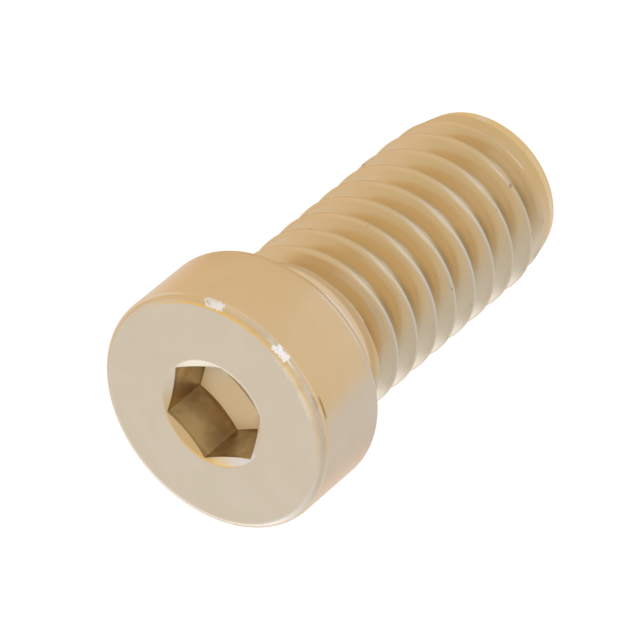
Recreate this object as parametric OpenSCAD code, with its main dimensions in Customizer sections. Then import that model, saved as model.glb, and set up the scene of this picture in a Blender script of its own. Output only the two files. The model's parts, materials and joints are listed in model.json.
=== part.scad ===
// Low head cap screw with a hexagon socket: one turned, broached and thread-rolled piece.
// It stands on its point, head up. The origin is the middle of the point's end face.

/* [Thread] */
// Outside diameter of the thread, 5/16 inch at its lower limit
thread_d = 7.7; // [7.6:0.01:8.6]
// Distance from one crest to the next, 18 turns to the inch
thread_pitch = 1.411; // [1.1:0.001:1.6]
// Depth of the thread from crest to root
thread_depth = 0.75; // [0.4:0.05:0.9]
// Width of the flat on each crest
crest_w = 0.18; // [0.1:0.02:0.3]
// Width of the root between two flanks
root_w = 0.36; // [0.2:0.02:0.45]
// Hollow in the middle of the root
root_dip = 0.06; // [0.02:0.01:0.1]
// Where round the screw the crest passes its reference height, in degrees
thread_turn = 274; // [0:1:359]

/* [Shank] */
// Length from under the head to the point
shank_l = 15.85; // [12:0.05:30]
// Diameter of the plain neck between the thread and the head
neck_d = 7.2; // [6.8:0.05:7.5]
// Length of the plain neck, from under the head to where the thread starts to rise
neck_l = 1.45; // [1.2:0.05:3]
// Length over which the thread rises from the neck to its full depth
runout_l = 1; // [0.8:0.1:2]
// Radius of the fillet between neck and head
fillet_r = 0.3; // [0.1:0.05:0.6]

/* [Point] */
// Diameter of the point where its taper meets the end chamfer
point_d = 6.9; // [6.6:0.05:7.4]
// Length of the taper that the first turns of the thread run out on
point_l = 1.9; // [1:0.1:3]
// Chamfer round the end face
point_chamfer = 0.35; // [0.05:0.05:0.5]
// Length of the smooth land round the point, before the thread starts
point_land = 0.95; // [0.6:0.05:1.5]
// Length over which the thread gets its full depth above that land
lead_in_l = 0.7; // [0.3:0.05:1.4]

/* [Head] */
// Diameter of the head
head_d = 10.5; // [10.2:0.05:13]
// Height of the head
head_h = 4.05; // [3.6:0.05:6]
// Radius of the edge round the face with the socket
face_edge_r = 0.38; // [0.1:0.02:0.8]
// Radius of the edge on the side of the shank
back_edge_r = 0.42; // [0.1:0.02:0.7]

/* [Socket] */
// Width of the hexagon across its flats, for a 5/32 inch key
socket_af = 4.03; // [3:0.01:5]
// Depth of the flat walls at their corners
socket_depth = 2.3; // [1.5:0.05:2.6]
// Diameter of the countersink at the mouth
mouth_d = 4.76; // [3.4:0.02:6.5]
// Full angle of the countersink, in degrees
mouth_angle = 130; // [80:1:150]
// Full angle of the cone that the punch leaves at the bottom, in degrees
floor_angle = 130; // [110:1:160]

/* [Hidden] */
$fn = 96;

brass = "#d2b384";
// How far a cutting shape stands out of what it cuts
over = 1;
// Flat facets in one turn of the thread
turn_facets = 36;

thread_r = thread_d / 2;
neck_r = neck_d / 2;
head_r = head_d / 2;
total_l = shank_l + head_h;
runout_top_z = shank_l - neck_l;
full_thread_z = runout_top_z - runout_l;
// The run-out ends this far under the skin of the neck, whose end is coned down to meet it
runout_sink = 0.1;

// Profile of one pitch: place along the axis and depth below the crest, from flank to flank
flank_w = (thread_pitch - crest_w - root_w) / 2;
profile = [
    [0, 0],
    [crest_w, 0],
    [crest_w + flank_w, thread_depth],
    [crest_w + flank_w + root_w / 2, thread_depth + root_dip],
    [crest_w + flank_w + root_w, thread_depth]
];
steps = len(profile);

function limit(value, low, high) = min(max(value, low), high);
function blend(from, to, share) = from + (to - from) * share;

// How far the thread has faded at a height, 0 to 1, at the run-out and at the point
function runout_fade(z) = limit((z - full_thread_z) / runout_l, 0, 1);
function point_fade(z) = limit((point_land + lead_in_l - z) / lead_in_l, 0, 1);

// Radius of the thread at a height, with its depth below the crest there. The groove gets shallow
// where the thread fades, and at the run-out the crests also sink to the neck.
function thread_radius(depth, z) =
    blend(thread_r, neck_r - runout_sink, runout_fade(z))
    - max(depth - (thread_depth + root_dip) * max(runout_fade(z), point_fade(z)), 0);

// A point of the thread's skin: row counts profile points upwards, column counts facets round
function thread_point(row, column, z_start) =
    let (place = profile[row % steps],
         z = z_start + thread_pitch * (floor(row / steps) + column / turn_facets) + place[0],
         r = thread_radius(place[1], z),
         angle = 360 * column / turn_facets + thread_turn)
    [r * cos(angle), r * sin(angle), z];

// The rolled rod: a skin of rows that climb one pitch a turn, closed by a fan at each end
module thread_rod() {
    z_start = -2 * thread_pitch;
    rows = steps * ceil((runout_top_z - z_start) / thread_pitch + 0.5);
    last = turn_facets - 1;
    skin = [for (row = [0:rows], column = [0:last]) thread_point(row, column, z_start)];
    bottom = len(skin);
    top = bottom + 1;
    function id(row, column) = row * turn_facets + column;
    low_loop = concat([for (column = [0:last]) id(0, column)], [for (row = [steps:-1:1]) id(row, 0)]);
    high_loop = concat([for (column = [0:last]) id(rows, column)],
                       [for (row = [rows - 1:-1:rows - steps]) id(row, last)]);
    polyhedron(
        points = concat(skin, [[0, 0, z_start - thread_pitch], [0, 0, skin[bottom - 1][2] + thread_pitch / 4]]),
        faces = concat(
            [for (row = [0:rows - 1], column = [0:last - 1]) each [
                [id(row, column), id(row + 1, column), id(row + 1, column + 1)],
                [id(row, column), id(row + 1, column + 1), id(row, column + 1)]]],
            [for (row = [0:rows - steps - 1]) each [
                [id(row, last), id(row + 1, last), id(row + steps + 1, 0)],
                [id(row, last), id(row + steps + 1, 0), id(row + steps, 0)]]],
            [for (k = [0:len(low_loop) - 1])
                [bottom, low_loop[k], low_loop[(k + 1) % len(low_loop)]]],
            [for (k = [0:len(high_loop) - 1])
                [top, high_loop[(k + 1) % len(high_loop)], high_loop[k]]]
        )
    );
}

// What the point leaves of the rod: an end chamfer, then a taper that the crests run out on
module point_envelope() {
    taper = (thread_r - point_d / 2) / point_l;
    outer_r = thread_r + over;
    rotate_extrude() polygon([
        [0, 0],
        [point_d / 2 - point_chamfer, 0],
        [point_d / 2, point_chamfer],
        [outer_r, point_chamfer + (outer_r - point_d / 2) / taper],
        [outer_r, total_l],
        [0, total_l]
    ]);
}

// Turned blank of head and neck, as half a section round the axis
module head_blank() {
    neck_cone_l = runout_l / 2;
    rotate_extrude() {
        translate([0, shank_l]) square([head_r - back_edge_r, head_h / 2]);
        translate([0, shank_l + back_edge_r]) square([head_r, head_h - back_edge_r - face_edge_r]);
        translate([0, total_l - head_h / 2]) square([head_r - face_edge_r, head_h / 2]);
        translate([head_r - back_edge_r, shank_l + back_edge_r]) circle(back_edge_r);
        translate([head_r - face_edge_r, total_l - face_edge_r]) circle(face_edge_r);
        polygon([
            [0, runout_top_z - neck_cone_l],
            [neck_r - thread_depth / 2, runout_top_z - neck_cone_l],
            [neck_r, runout_top_z],
            [neck_r, shank_l + head_h / 2],
            [0, shank_l + head_h / 2]
        ]);
        difference() {
            translate([0, shank_l - fillet_r]) square([neck_r + fillet_r, 2 * fillet_r]);
            translate([neck_r + fillet_r, shank_l - fillet_r]) circle(fillet_r);
        }
    }
}

// What the punch with its blunt cone and the countersink take out of the head
module socket() {
    corner_r = socket_af / 2 / cos(30);
    floor_cone_h = corner_r / tan(floor_angle / 2);
    tip_z = total_l - socket_depth - floor_cone_h;
    mouth_cone_h = mouth_d / 2 / tan(mouth_angle / 2);
    over_r = over * tan(mouth_angle / 2);
    intersection() {
        translate([0, 0, tip_z - over]) cylinder(r = corner_r, h = total_l - tip_z + 2 * over, $fn = 6);
        rotate_extrude() polygon([
            [0, tip_z],
            [corner_r + over, total_l - socket_depth + over / tan(floor_angle / 2)],
            [corner_r + over, total_l + over],
            [0, total_l + over]
        ]);
    }
    translate([0, 0, total_l - mouth_cone_h])
        cylinder(r1 = 0, r2 = mouth_d / 2 + over_r, h = mouth_cone_h + over);
}

module cap_screw() {
    color(brass)
    difference() {
        union() {
            head_blank();
            intersection() {
                thread_rod();
                point_envelope();
            }
        }
        socket();
    }
}

cap_screw();
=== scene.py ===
import json
import math

import bmesh
import bpy
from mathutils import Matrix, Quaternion, Vector


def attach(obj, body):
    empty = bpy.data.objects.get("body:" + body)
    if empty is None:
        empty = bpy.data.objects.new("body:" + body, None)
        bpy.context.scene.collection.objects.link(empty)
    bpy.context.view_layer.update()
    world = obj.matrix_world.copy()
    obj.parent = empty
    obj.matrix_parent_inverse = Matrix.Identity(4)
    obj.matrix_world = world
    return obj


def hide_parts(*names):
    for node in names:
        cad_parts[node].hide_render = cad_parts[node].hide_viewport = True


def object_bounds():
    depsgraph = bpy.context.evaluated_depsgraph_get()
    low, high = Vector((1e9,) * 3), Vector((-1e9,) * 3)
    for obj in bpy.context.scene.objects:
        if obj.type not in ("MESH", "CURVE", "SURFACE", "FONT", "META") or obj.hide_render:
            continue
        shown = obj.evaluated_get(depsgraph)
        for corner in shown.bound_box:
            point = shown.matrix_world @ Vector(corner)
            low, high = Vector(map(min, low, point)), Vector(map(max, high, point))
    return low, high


# A low head cap screw of pale gold brass, standing on its point with the head up. Lengths are in
# metres, in the CAD's frame.
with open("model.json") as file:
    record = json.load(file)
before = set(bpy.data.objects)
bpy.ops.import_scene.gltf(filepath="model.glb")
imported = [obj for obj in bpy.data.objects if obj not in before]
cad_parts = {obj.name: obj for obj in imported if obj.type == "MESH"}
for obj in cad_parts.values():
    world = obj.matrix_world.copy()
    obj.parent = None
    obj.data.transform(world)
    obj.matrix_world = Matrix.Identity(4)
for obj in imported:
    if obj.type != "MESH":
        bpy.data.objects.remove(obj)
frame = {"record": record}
cad_low, cad_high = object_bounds()


# Camera. It looks down onto the socket from close to the -Y side, far off through a long lens, and
# is rolled so that the shank runs to the upper right.
MM = 0.001
view_azimuth = -88.80
view_elevation = 43.36
view_roll = -130.0
view_distance = 276.8 * MM
view_aim = Vector((0.063, 2.368, 10.0)) * MM
picture_px = 640
focal_px = 6862.5

camera_data = bpy.data.cameras.new("camera")
camera_data.sensor_width = 36
camera_data.lens = camera_data.sensor_width * focal_px / picture_px
camera_data.clip_start = 0.01
camera = bpy.data.objects.new("camera", camera_data)
bpy.context.scene.collection.objects.link(camera)
bpy.context.scene.camera = camera
azimuth, elevation = math.radians(view_azimuth), math.radians(view_elevation)
towards_camera = Vector((
    math.cos(azimuth) * math.cos(elevation),
    math.sin(azimuth) * math.cos(elevation),
    math.sin(elevation),
))
camera.location = view_aim + towards_camera * view_distance
camera.rotation_mode = "QUATERNION"
level = towards_camera.to_track_quat("Z", "Y")
camera.rotation_quaternion = level @ Quaternion((0, 0, 1), math.radians(view_roll))


# Threaded shank. The thread is rolled, not cut: a right-hand helix with a narrow flat crest, 60
# degree flanks and a rounded root. Its groove gets shallow under the head and at the point, where
# the crests run out on the blank's taper and leave a smooth land.
mounts = {mount["name"]: mount for mount in frame["record"]["mounts"]}
columns = 180
shank_top = mounts["bearing_face"]["pos_m"][2]
thread_sizes = {
    "Pitch": 1.411 * MM,
    "Outside Radius": mounts["thread"]["dims"]["r_mm"] * MM,
    "Depth": 0.81 * MM,
    "Crest Width": 0.18 * MM,
    "Root Width": 0.3 * MM,
    "Crest Round": 0.1 * MM,
    "Root Round": 0.3 * MM,
    "Crest Height": 0.427 * MM,
    "Neck Radius": 3.6 * MM,
    "Run-out Start": shank_top - 2.45 * MM,
    "Run-out Length": 1.0 * MM,
    "Point Radius": 3.45 * MM,
    "Point Length": 1.9 * MM,
    "Point Chamfer": 0.35 * MM,
    "Point Land": 0.95 * MM,
    "Lead-in Length": 0.7 * MM,
    "Top": shank_top - 1.4 * MM,
    "Seam Distance": 0.002 * MM,
}
thread_counts = {"Columns": columns, "Rows per Turn": 24}


# Node trees are written as expressions on wires. A wire is one output of a node, arithmetic on
# wires adds Math nodes, and node() adds any other kind.
class Wire:
    def __init__(self, tree, socket):
        self.tree = tree
        self.socket = socket

    def node(self, kind, settings, inputs, output=0):
        made = self.tree.nodes.new(kind)
        for name, value in settings.items():
            setattr(made, name, value)
        for key, value in inputs.items():
            if isinstance(value, Wire):
                self.tree.links.new(value.socket, made.inputs[key])
            else:
                made.inputs[key].default_value = value
        return Wire(self.tree, made.outputs[output])

    def math(self, operation, *values):
        return self.node("ShaderNodeMath", {"operation": operation}, dict(enumerate((self, *values))))

    def output(self, name):
        return Wire(self.tree, self.socket.node.outputs[name])

    def __add__(self, other):
        return self.math("ADD", other)

    def __radd__(self, other):
        return self + other

    def __sub__(self, other):
        return self.math("SUBTRACT", other)

    def __rsub__(self, other):
        return self * -1 + other

    def __mul__(self, other):
        return self.math("MULTIPLY", other)

    def __rmul__(self, other):
        return self * other

    def __truediv__(self, other):
        return self.math("DIVIDE", other)


tree = bpy.data.node_groups.new("thread", "GeometryNodeTree")
tree.interface.new_socket("Geometry", in_out="OUTPUT", socket_type="NodeSocketGeometry")
for name in thread_sizes:
    tree.interface.new_socket(name, in_out="INPUT", socket_type="NodeSocketFloat")
for name in thread_counts:
    tree.interface.new_socket(name, in_out="INPUT", socket_type="NodeSocketInt")
tree.interface.new_socket("Material", in_out="INPUT", socket_type="NodeSocketMaterial")
inputs = tree.nodes.new("NodeGroupInput")
size = {name: Wire(tree, inputs.outputs[name]) for name in (*thread_sizes, *thread_counts)}
pitch, outside_r = size["Pitch"], size["Outside Radius"]

turns = (size["Top"] / pitch).math("CEIL") + 2
grid = turns.node("GeometryNodeMeshGrid", {}, {
    "Size X": 1.0, "Size Y": 1.0,
    "Vertices X": size["Columns"] + 1,
    "Vertices Y": turns * size["Rows per Turn"] + 1,
})
place = grid.node("GeometryNodeInputPosition", {}, {})
place = place.node("ShaderNodeSeparateXYZ", {}, {0: place})
round_share, climb_share = place + 0.5, place.output("Y") + 0.5

# Each row climbs one pitch in going round, so a row keeps its place on the thread's profile
low = size["Crest Height"].math("FLOORED_MODULO", pitch) - 2 * pitch
z = low + pitch * (turns * climb_share + round_share)
z = z.math("MAXIMUM", 0.0).math("MINIMUM", size["Top"])
phase = (z - low) / pitch - round_share
from_crest = ((phase + 0.5).math("FRACT") - 0.5).math("ABSOLUTE") * pitch


def smooth(value, start, end):
    """Rises smoothly from 0 to 1 as a value goes from start to end."""
    return value.node("ShaderNodeMapRange", {"interpolation_type": "SMOOTHSTEP"}, {
        "Value": value, "From Min": start, "From Max": end,
    })


run_out = smooth(z, size["Run-out Start"], size["Run-out Start"] + size["Run-out Length"])
lead_in = 1 - smooth(z, size["Point Land"], size["Point Land"] + size["Lead-in Length"])
flank_width = (pitch - size["Crest Width"] - size["Root Width"]) / 2
groove = (from_crest - size["Crest Width"] / 2) * size["Depth"] / flank_width
groove = groove.math("SMOOTH_MIN", size["Depth"], size["Root Round"])
groove = groove - size["Depth"] * run_out.math("MAXIMUM", lead_in)
groove = groove.math("SMOOTH_MAX", 0.0, size["Crest Round"])

# The groove ends in nothing at the top, where the skin meets the neck
groove = groove * (1 - smooth(z, size["Top"] - size["Root Round"], size["Top"]))

point_r, chamfer = size["Point Radius"], size["Point Chamfer"]
taper = point_r + (z - chamfer) * (outside_r - point_r) / size["Point Length"]
radius = outside_r - (outside_r - size["Neck Radius"]) * run_out
radius = (radius - groove).math("SMOOTH_MIN", taper, chamfer / 4)
radius = radius.math("SMOOTH_MIN", point_r - chamfer + z, chamfer / 2)
angle = round_share * math.tau
spot = z.node("ShaderNodeCombineXYZ", {}, {
    "X": radius * angle.math("COSINE"), "Y": radius * angle.math("SINE"), "Z": z,
})
skin = grid.node("GeometryNodeSetPosition", {}, {"Geometry": grid, "Position": spot})
skin = skin.node("GeometryNodeMergeByDistance", {}, {
    "Geometry": skin, "Distance": size["Seam Distance"],
})
skin = skin.node("GeometryNodeRealizeInstances", {}, {"Geometry": skin})
skin = skin.node("GeometryNodeSetMaterial", {}, {
    "Geometry": skin, "Material": Wire(tree, inputs.outputs["Material"]),
})
tree.links.new(skin.socket, tree.nodes.new("NodeGroupOutput").inputs["Geometry"])

# Polished brass of the whole screw, made below
brass = bpy.data.materials.new("polished_brass")

carrier = bpy.data.objects.new("shank_form", bpy.data.meshes.new("shank_form"))
bpy.context.scene.collection.objects.link(carrier)
modifier = carrier.modifiers.new("thread", "NODES")
modifier.node_group = tree
identifiers = {item.name: item.identifier for item in tree.interface.items_tree}
for name, value in {**thread_sizes, **thread_counts, "Material": brass}.items():
    modifier[identifiers[name]] = value
shown = carrier.evaluated_get(bpy.context.evaluated_depsgraph_get())
shank_mesh = bpy.data.meshes.new_from_object(shown)
bpy.data.objects.remove(carrier)


# Head. It is headed cold on the same blank: a low round barrel with small rounded edges, and a
# hexagon socket pressed in by a punch with a blunt cone, then countersunk at the mouth.
head_r = cad_high.x
face_z = cad_high.z
neck_r = thread_sizes["Neck Radius"]
fillet_r = 0.3 * MM
back_edge_r = 0.42 * MM
face_edge_r = 0.38 * MM
socket_apothem = 2.015 * MM
socket_corner_r = 0.06 * MM
socket_depth = mounts["hex_socket"]["dims"]["length_mm"] * MM
socket_floor_r = socket_apothem / math.cos(math.pi / 6)
floor_angle = 130
floor_slope = 1 / math.tan(math.radians(floor_angle / 2))
mouth_r = 2.38 * MM
mouth_angle = 130
mouth_slope = 1 / math.tan(math.radians(mouth_angle / 2))
mouth_edge = 0.04 * MM
edge_guard = 0.03 * MM
border_scale = 0.95
sharp_angle = 25


def arc(centre_r, centre_z, radius, start, end, steps=10):
    """Stations round an edge, from one angle to another in degrees."""
    angles = [math.radians(start + (end - start) * step / steps) for step in range(steps + 1)]
    return [(centre_r + radius * math.cos(a), centre_z + radius * math.sin(a)) for a in angles]


def hexagon_radius(angle):
    """How far the socket's wall is from the axis, with a corner on +X and each corner rounded."""
    sixth, half = math.pi / 3, math.pi / 6
    off_corner = abs((angle + half) % sixth - half)
    centre = (socket_apothem - socket_corner_r) / math.cos(half)
    tangent = math.atan2(socket_corner_r * math.sin(half), centre + socket_corner_r * math.cos(half))
    if off_corner >= tangent:
        return socket_apothem / math.cos(half - off_corner)
    across = centre * math.sin(off_corner)
    return centre * math.cos(off_corner) + math.sqrt(socket_corner_r ** 2 - across ** 2)


def mouth_z(radius):
    """Height of the countersink at a distance from the axis."""
    return face_z - (mouth_r - radius) * mouth_slope


def floor_z(radius):
    """Height of the socket's floor at a distance from the axis."""
    return face_z - socket_depth - (socket_floor_r - radius) * floor_slope


outline = [(neck_r, thread_sizes["Top"]), (neck_r, shank_top - fillet_r - edge_guard)]
outline += arc(neck_r + fillet_r, shank_top - fillet_r, fillet_r, 180, 90)
outline += [(neck_r + fillet_r + edge_guard, shank_top), (head_r - back_edge_r - edge_guard, shank_top)]
outline += arc(head_r - back_edge_r, shank_top + back_edge_r, back_edge_r, -90, 0)
outline += [(head_r, shank_top + back_edge_r + edge_guard), (head_r, face_z - face_edge_r - edge_guard)]
outline += arc(head_r - face_edge_r, face_z - face_edge_r, face_edge_r, 0, 90)
outline += [(head_r - face_edge_r - edge_guard, face_z), (mouth_r + mouth_edge + edge_guard, face_z)]
outline += [(mouth_r + mouth_edge, face_z), (mouth_r, face_z - mouth_edge * mouth_slope / 3)]
outline += [(mouth_r - mouth_edge, mouth_z(mouth_r - mouth_edge))]

screw_mesh = bpy.data.meshes.new("cap_screw_polished")
build = bmesh.new()
build.from_mesh(shank_mesh)
rings = []
for column in range(columns):
    angle = math.tau * column / columns
    wall_r = hexagon_radius(angle)
    stations = outline + [
        (wall_r, mouth_z(wall_r)),
        (wall_r, mouth_z(wall_r) - edge_guard),
        (wall_r, floor_z(wall_r) + edge_guard),
        (wall_r, floor_z(wall_r)),
        (wall_r - edge_guard, floor_z(wall_r - edge_guard)),
        (socket_apothem / 2, floor_z(socket_apothem / 2)),
        (edge_guard, floor_z(edge_guard)),
    ]
    rings.append([build.verts.new((r * math.cos(angle), r * math.sin(angle), z)) for r, z in stations])
socket_bottom = build.verts.new((0, 0, floor_z(0)))
for column, ring in enumerate(rings):
    after = rings[(column + 1) % columns]
    for step in range(len(ring) - 1):
        build.faces.new((ring[step], after[step], after[step + 1], ring[step + 1]))
    build.faces.new((ring[-1], after[-1], socket_bottom))

# The end face of the point: a narrow border, then flat to the middle
open_edges = [edge for edge in build.edges if edge.is_boundary]
foot = {vert for edge in open_edges for vert in edge.verts if vert.co.z < edge_guard}
rim = sorted(foot, key=lambda vert: math.atan2(vert.co.y, vert.co.x))
border = [build.verts.new(vert.co * border_scale) for vert in rim]
middle = build.verts.new((0, 0, 0))
for column in range(len(rim)):
    build.faces.new((rim[column - 1], rim[column], border[column], border[column - 1]))
    build.faces.new((border[column - 1], border[column], middle))
bmesh.ops.remove_doubles(build, verts=build.verts, dist=thread_sizes["Seam Distance"])
bmesh.ops.recalc_face_normals(build, faces=build.faces)
for face in build.faces:
    face.smooth = True
build.to_mesh(screw_mesh)
build.free()
bpy.data.meshes.remove(shank_mesh)
screw_mesh.materials.clear()
screw_mesh.materials.append(brass)
screw_mesh.set_sharp_from_angle(angle=math.radians(sharp_angle))
screw = bpy.data.objects.new("cap_screw_polished", screw_mesh)
bpy.context.scene.collection.objects.link(screw)
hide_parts("cap_screw")
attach(screw, "root")


# Finish. The whole screw is pale gold brass, tumbled and polished after rolling. The barrel and the
# face are a soft mirror, the socket and the thread's root are duller, and the socket's walls are
# stained. Painted shade darkens the thread's root, the walls and the neck under the head, the socket's
# floor is painted paler as if lit, and the edges and the point carry painted highlights and a painted
# golden reflection, with small dents, two flat bruises and a nick.
polished_colour = (0.80, 0.665, 0.44, 1)
pale_colour = (0.84, 0.705, 0.49, 1)
root_shade_colour = (0.71, 0.62, 0.42, 1)
wall_shade_colour = (0.79, 0.70, 0.50, 1)
socket_floor_lit_colour = (0.83, 0.735, 0.59, 1)
gold_reflection_colour = (0.96, 0.82, 0.54, 1)
highlight_colour = (0.95, 0.88, 0.76, 1)
dirt_and_shade_colour = (0.32, 0.23, 0.12, 1)
edge_tint = (1.0, 0.88, 0.75, 1)
bruise_faces = (0.0, -0.73, 0.68)

brass.use_nodes = True
finish = brass.node_tree
principled = finish.nodes["Principled BSDF"]
principled.inputs["Metallic"].default_value = 1
principled.inputs["Specular Tint"].default_value = edge_tint
spot = Wire(finish, finish.nodes.new("ShaderNodeTexCoord").outputs["Object"])
parts = spot.node("ShaderNodeSeparateXYZ", {}, {0: spot})
x, y, z = parts, parts.output("Y"), parts.output("Z")
from_axis = (x * x + y * y).math("SQRT")
over_face = z - face_z
over_shank = z - shank_top


def between(value, start, full, ebb, end):
    """Rises smoothly from 0 to 1 between two values, and falls to 0 again between two others."""
    return smooth(value, start, full) * (1 - smooth(value, ebb, end))


def around(azimuth, start, end):
    """Rises smoothly from 0 to 1 as a place turns round the axis towards an azimuth."""
    a = math.radians(azimuth)
    along = (x * math.cos(a) + y * math.sin(a)) / from_axis
    return smooth(along, math.cos(math.radians(start)), math.cos(math.radians(end)))


def noise(scale, detail, seed):
    """Soft blotches, about one for each of this many millimetres."""
    return spot.node("ShaderNodeTexNoise", {"noise_dimensions": "4D"}, {
        "Vector": spot, "W": seed, "Scale": 1 / (scale * MM), "Detail": detail, "Roughness": 0.55,
    })


def mixed(share, first, second):
    """Two colours mixed by a share."""
    return share.node("ShaderNodeMix", {"data_type": "RGBA"}, {
        "Factor": share, "A": first, "B": second,
    }, "Result")


# The socket's walls, by their distance from the axis square to the nearest flat, and its floor
leaning = x * math.cos(math.pi / 6)
rising = y * math.sin(math.pi / 6)
from_flats = y.math("ABSOLUTE").math("MAXIMUM", (leaning + rising).math("ABSOLUTE"))
from_flats = from_flats.math("MAXIMUM", (leaning - rising).math("ABSOLUTE"))
on_wall = 1 - smooth((from_flats - socket_apothem).math("ABSOLUTE"), 0.01 * MM, 0.03 * MM)
on_wall = on_wall * smooth(over_face, -3 * MM, -2.9 * MM)
wall_foot = on_wall * (1 - smooth(z - floor_z(socket_floor_r), 0.03 * MM, 0.1 * MM))
wall_top = on_wall * smooth(over_face, -0.34 * MM, -0.2 * MM)
on_floor = between(over_face, -3.9 * MM, -3.8 * MM, -2.3 * MM, -2.2 * MM)
on_floor = on_floor * (1 - smooth(from_axis, 2.35 * MM, 2.4 * MM))

# The head's edges: the round one of the face, the flat beside it, and the socket's countersink
edge_place = (from_axis - head_r) + over_face + 2 * face_edge_r
on_face_edge = smooth(edge_place, face_edge_r * 1.08, face_edge_r * 1.36)
beside_edge = smooth(over_face, -0.4 * MM, -0.3 * MM) * smooth(from_axis, 4.62 * MM, 4.8 * MM)
on_rim = smooth(over_face, -0.2 * MM, -0.15 * MM) * (1 - smooth(from_axis, 2.34 * MM, 2.4 * MM))

# The thread from its run-out down to the point, and the neck's collar above it
threaded = 1 - smooth(over_shank, -1.6 * MM, -1.2 * MM)
in_root = threaded * smooth(z, 0.1 * MM, 0.3 * MM) * (1 - smooth(from_axis, 3.05 * MM, 3.4 * MM))
on_crest = threaded * smooth(from_axis, 3.72 * MM, 3.84 * MM)
on_run_out = between(over_shank, -2.6 * MM, -1.9 * MM, -1.4 * MM, -1.2 * MM)
below_head = 1 - smooth(over_shank, 0.0, 0.1 * MM)
on_collar = below_head * smooth(over_shank, -1.74 * MM, -1.6 * MM)
collar_shadow = below_head * smooth(over_shank, -2.05 * MM, -1.8 * MM) - on_collar
on_point = 1 - smooth(z, 0.76 * MM, 0.92 * MM)
on_point_edge = between(z, 0.48 * MM, 0.56 * MM, 0.66 * MM, 0.78 * MM)

# Wear and painted highlights. The bruises lie flat, face the camera's side and carry a painted
# highlight, the point has a painted glint, and the nick is dark.
cloudy = noise(1.6, 3, 1.0)
grainy = noise(0.16, 4, 2.0)
stained = smooth(noise(0.8, 2, 3.0), 0.42, 0.6)
worn = smooth(noise(0.9, 3, 5.0), 0.52, 0.62)
dented = smooth(noise(0.5, 2, 8.0), 0.67, 0.72) * (on_face_edge + on_crest).math("MINIMUM", 1.0)
bruise_and_highlight = on_face_edge * (around(-50, 7, 2.5) + around(-87.5, 6, 3))
bruise_and_highlight = smooth(bruise_and_highlight + (grainy - 0.5) * 2.5, 0.5, 0.8)
point_glint = on_point * smooth(z, 0.1 * MM, 0.2 * MM) * around(-51, 5, 2.5)
nicked = between(over_face, -0.54 * MM, -0.48 * MM, -0.42 * MM, -0.36 * MM)
nicked = nicked * around(-118, 6.5, 2.5) * smooth(from_axis, head_r * 0.98, head_r * 0.99)
# Painted highlights on the face's edge, the crests, the collar, the point's edge and the countersink's
# rim
painted_highlights = on_face_edge * around(-125, 85, 70) * (0.35 + worn * 0.4) + on_crest * 0.15 + on_collar * 0.5
painted_highlights = painted_highlights + on_point_edge * around(-114, 30, 18) + on_rim * around(158, 35, 22) * 0.8

# Colour, from the bare metal up to the dirt, painted shade and painted highlights laid on it
colour = mixed(smooth(cloudy, 0.35, 0.65) * 0.5 + grainy * 0.3, polished_colour, pale_colour)
# Painted light: the socket's floor is paler, as if lit from above
colour = mixed(on_floor, colour, socket_floor_lit_colour)
# Painted shade in the thread's root
colour = mixed(in_root, colour, root_shade_colour)
# Painted shade on the socket's walls
colour = mixed(on_wall, colour, wall_shade_colour)
# Painted golden reflection on the point
colour = mixed(on_point, colour, gold_reflection_colour)
# Painted dark reflection in the thread's root on one side
colour = mixed(in_root * around(-117, 22, 8) * 0.25, colour, dirt_and_shade_colour)
# Painted shadow on the neck under the head, darker over the run-out, and stains on the socket's walls
colour = mixed(collar_shadow * 0.22 + on_run_out * 0.1 + stained * on_wall * 0.3, colour, dirt_and_shade_colour)
# Painted shade at the foot of the socket's walls, and darker at their top
colour = mixed(wall_foot * 0.4 + wall_top * 0.3, colour, dirt_and_shade_colour)
# Painted golden reflection beside the face's edge, broken up by wear
colour = mixed(beside_edge * around(-104, 20, 13) * (0.3 + worn * 0.5), colour, gold_reflection_colour)
# Painted highlights, on the bruises and the point too
colour = mixed((painted_highlights + bruise_and_highlight + point_glint).math("MINIMUM", 1.0), colour, highlight_colour)
colour = mixed(dented * 0.6 + nicked * 0.7, colour, dirt_and_shade_colour)
finish.links.new(colour.socket, principled.inputs["Base Color"])

roughness = 0.16 + cloudy * 0.05 + grainy * 0.05 + on_wall * 0.12 + in_root * 0.06 + on_crest * 0.1
roughness = roughness + on_face_edge * (around(-150, 45, 25) * 0.2 + worn * 0.1)
finish.links.new(roughness.socket, principled.inputs["Roughness"])

relief = cloudy * 0.12 + grainy * 0.05 - dented * 0.5 + worn * on_face_edge * 0.25
bump = relief.node("ShaderNodeBump", {}, {"Height": relief, "Strength": 0.5, "Distance": 0.03 * MM})
flattened = bump.node("ShaderNodeMix", {"data_type": "VECTOR"}, {
    "Factor": bruise_and_highlight * 0.9, "A": bump, "B": bruise_faces,
}, "Result")
finish.links.new(flattened.socket, principled.inputs["Normal"])


# Floor: a plain sheet of white board, lit evenly so that it throws no shadow. It lies a hair below
# the screw's end face, and the metal doesn't reflect it.
sheet_half = 1.0
floor_height = -0.01 * MM


def sheet(name, height):
    """A level square sheet at a height, and its shader."""
    mesh = bpy.data.meshes.new(name)
    sides = ((-1, -1), (1, -1), (1, 1), (-1, 1))
    corners = [(side_x * sheet_half, side_y * sheet_half, height) for side_x, side_y in sides]
    mesh.from_pydata(corners, [], [(0, 1, 2, 3)])
    made = bpy.data.objects.new(name, mesh)
    bpy.context.scene.collection.objects.link(made)
    paint = bpy.data.materials.new(name)
    paint.use_nodes = True
    mesh.materials.append(paint)
    shader = paint.node_tree.nodes["Principled BSDF"]
    shader.inputs["Roughness"].default_value = 0.9
    shader.inputs["Emission Strength"].default_value = 1.0
    return made, shader


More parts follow.
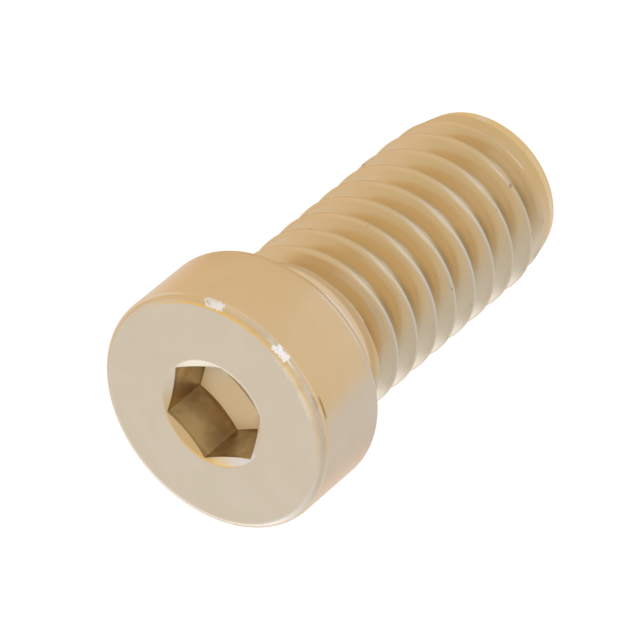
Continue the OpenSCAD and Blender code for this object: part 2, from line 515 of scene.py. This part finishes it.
floor, board = sheet("floor", floor_height)
board.inputs["Base Color"].default_value = (0.05, 0.05, 0.05, 1)
board.inputs["Emission Color"].default_value = (1, 1, 1, 1)
floor.visible_glossy = False


# Glowing sheet under the board, a light which only the metal sees in its reflections. It glows warm in
# front and on the right, and pale and cool on the left, at the back and round the screw.
glow_sheet_height = -0.05 * MM
warm_glow = (0.80, 0.67, 0.53, 1)
cool_left = (0.69, 0.72, 0.86, 1)
cool_middle = (0.82, 0.82, 0.92, 1)
warm_right = (0.70, 0.57, 0.41, 1)
foot_left = (0.74, 0.70, 0.68, 1)
foot_right = (0.72, 0.60, 0.43, 1)
pale_back = (0.85, 0.81, 0.85, 1)

table, glow_shader = sheet("table", glow_sheet_height)
table.visible_camera = False
table.visible_diffuse = False
table.visible_shadow = False
glow_shader.inputs["Base Color"].default_value = (0, 0, 0, 1)
paint = glow_shader.id_data
spot = Wire(paint, paint.nodes.new("ShaderNodeTexCoord").outputs["Object"])
parts = spot.node("ShaderNodeSeparateXYZ", {}, {0: spot})
x, y = parts, parts.output("Y")
from_foot = (x * x + y * y).math("SQRT")
side = x / from_foot
left_side = smooth(y + x * 0.35, -21.5 * MM, -18.5 * MM) * (1 - smooth(x, -12 * MM, -6 * MM))
near = left_side.math("MAXIMUM", 1 - smooth(from_foot, 20 * MM, 22 * MM))
at_foot = 1 - smooth(from_foot, 6.5 * MM, 9 * MM)
behind = smooth(y, 8 * MM, 21 * MM)
cool = mixed(smooth(side, -0.75, -0.35), cool_left, cool_middle)
cool = mixed(smooth(side, 0.3, 0.6), cool, warm_right)
glow = mixed(near, warm_glow, cool)
glow = mixed(at_foot, glow, mixed(smooth(side, -0.9, -0.4), foot_left, foot_right))
glow = mixed(behind, glow, pale_back)
paint.links.new(glow.socket, glow_shader.inputs["Emission Color"])


# Light: a large soft surrounding, neutral on the left and warm on the right, with soft patches laid
# over it in turn. Each patch has its azimuth, its elevation, the angles from there at which it
# begins and is full, and its colour.
neutral_light = (0.60, 0.60, 0.63, 1)
warm_light = (0.80, 0.65, 0.49, 1)
patches = {
    "cool at the back": (91, 43, 50, 26, (0.76, 0.80, 0.95, 1)),
    "dim in front": (-89, 5, 65, 25, (0.68, 0.64, 0.62, 1)),
    "shaded on the left": (-141, 0, 30, 10, (0.42, 0.38, 0.34, 1)),
    "dark on the left": (-143, -4, 15, 5, (0.18, 0.13, 0.08, 1)),
    "warm overhead": (-89, 82, 52, 20, (0.70, 0.585, 0.42, 1)),
    "golden high at the back": (66, 61, 20, 8, (0.98, 0.68, 0.25, 1)),
    "small lamp by the camera": (-93, 43, 12, 4, (1.05, 1.10, 1.32, 1)),
    "bright low at the back": (112, 0, 38, 14, (1.15, 1.28, 1.6, 1)),
}

world = bpy.data.worlds.new("studio")
bpy.context.scene.world = world
world.use_nodes = True
sky = world.node_tree
background = sky.nodes["Background"]
coordinates = Wire(sky, sky.nodes.new("ShaderNodeTexCoord").outputs["Generated"])


def facing(azimuth, elevation, start, end):
    """Rises smoothly from 0 to 1 as a direction turns towards a place, between two angles from it."""
    a, e = math.radians(azimuth), math.radians(elevation)
    towards = (math.cos(a) * math.cos(e), math.sin(a) * math.cos(e), math.sin(e))
    along = coordinates.node("ShaderNodeVectorMath", {"operation": "DOT_PRODUCT"}, {
        0: coordinates, 1: towards,
    }, "Value")
    return smooth(along, math.cos(math.radians(start)), math.cos(math.radians(end)))


light = mixed(facing(11, 30, 110, 50), neutral_light, warm_light)
for *place, patch_colour in patches.values():
    light = mixed(facing(*place), light, patch_colour)
sky.links.new(light.socket, background.inputs["Color"])
bpy.context.scene.view_settings.view_transform = "Standard"
